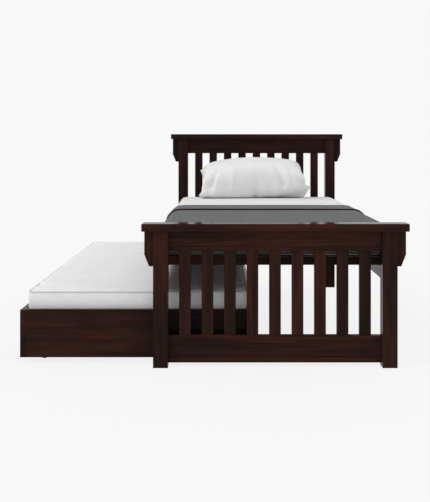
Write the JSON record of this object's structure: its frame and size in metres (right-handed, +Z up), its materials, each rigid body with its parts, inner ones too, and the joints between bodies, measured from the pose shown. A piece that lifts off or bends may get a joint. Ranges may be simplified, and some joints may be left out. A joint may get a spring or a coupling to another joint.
{
  "type": "trundle bed",
  "caption": "Single bed in dark lacquered wood with slatted head and foot boards, and a second bed on casters that rolls out from under its side.",
  "frame": {"origin": "on the floor, at the middle of the footprint with the trundle pulled out as pictured", "axes": "+X to the right seen from the foot, +Y from the footboard to the headboard, +Z up"},
  "size_m": [1.6744, 2.101, 1.02],
  "materials": {
    "walnut": "gloss",
    "deck_wood": "matte",
    "steel": "satin",
    "wheel_plastic": "satin",
    "mattress_fabric": "matte",
    "pillow_fabric": "matte",
    "blanket_fabric": "matte"
  },
  "bodies": {
    "bed": {"blanket": "blanket_fabric", "bracket_bolts": "steel", "deck_ledgers": "deck_wood", "deck_screws": "steel", "deck_slats": "deck_wood", "foot_cross_rail": "walnut", "footboard_bottom_rail": "walnut", "footboard_cap": "walnut", "footboard_corbel_left": "walnut", "footboard_corbel_right": "walnut", "footboard_post_left": "walnut", "footboard_post_right": "walnut", "footboard_slat_1": "walnut", "footboard_slat_2": "walnut", "footboard_slat_3": "walnut", "footboard_slat_4": "walnut", "footboard_slat_5": "walnut", "footboard_slat_6": "walnut", "footboard_slat_7": "walnut", "footboard_slat_8": "walnut", "footboard_slat_9": "walnut", "footboard_top_rail": "walnut", "head_cross_rail": "walnut", "headboard_bottom_rail": "walnut", "headboard_cap": "walnut", "headboard_corbel_left": "walnut", "headboard_corbel_right": "walnut", "headboard_post_left": "walnut", "headboard_post_right": "walnut", "headboard_slat_1": "walnut", "headboard_slat_2": "walnut", "headboard_slat_3": "walnut", "headboard_slat_4": "walnut", "headboard_slat_5": "walnut", "headboard_slat_6": "walnut", "headboard_slat_7": "walnut", "headboard_slat_8": "walnut", "headboard_slat_9": "walnut", "headboard_top_rail": "walnut", "mattress": "mattress_fabric", "pillow": "pillow_fabric", "rail_brackets": "steel", "side_rail_left": "walnut", "side_rail_right": "walnut"},
    "trundle": {"caster_axles": "steel", "caster_housings": "steel", "trundle_back_panel": "walnut", "trundle_caster_beams": "deck_wood", "trundle_deck_slats": "deck_wood", "trundle_dowels": "deck_wood", "trundle_foot_panel": "walnut", "trundle_front_panel": "walnut", "trundle_head_panel": "walnut", "trundle_ledgers": "deck_wood", "trundle_mattress": "mattress_fabric", "trundle_screws": "steel"},
    "caster_wheel_1": {"caster_wheel_1": "wheel_plastic"},
    "caster_wheel_2": {"caster_wheel_2": "wheel_plastic"},
    "caster_wheel_3": {"caster_wheel_3": "wheel_plastic"},
    "caster_wheel_4": {"caster_wheel_4": "wheel_plastic"}
  },
  "joints": [
    {"name": "trundle_slide", "type": "slide", "parent": "bed", "child": "trundle", "axis": [-1, 0, 0], "range_m": [-0.5845, 0.46]},
    {"name": "caster_wheel_1_spin", "type": "hinge", "parent": "trundle", "child": "caster_wheel_1", "pos_m": [-0.75025, -0.8635, 0.02], "axis": [0, -1, 0], "continuous": true},
    {"name": "caster_wheel_2_spin", "type": "hinge", "parent": "trundle", "child": "caster_wheel_2", "pos_m": [0.09175, -0.8635, 0.02], "axis": [0, -1, 0], "continuous": true},
    {"name": "caster_wheel_3_spin", "type": "hinge", "parent": "trundle", "child": "caster_wheel_3", "pos_m": [-0.75025, 0.8635, 0.02], "axis": [0, -1, 0], "continuous": true},
    {"name": "caster_wheel_4_spin", "type": "hinge", "parent": "trundle", "child": "caster_wheel_4", "pos_m": [0.09175, 0.8635, 0.02], "axis": [0, -1, 0], "continuous": true}
  ],
  "couplings": [
    {"joint": "caster_wheel_1_spin", "follows": "trundle_slide", "rad_per_m": 50},
    {"joint": "caster_wheel_2_spin", "follows": "trundle_slide", "rad_per_m": 50},
    {"joint": "caster_wheel_3_spin", "follows": "trundle_slide", "rad_per_m": 50},
    {"joint": "caster_wheel_4_spin", "follows": "trundle_slide", "rad_per_m": 50}
  ]
}
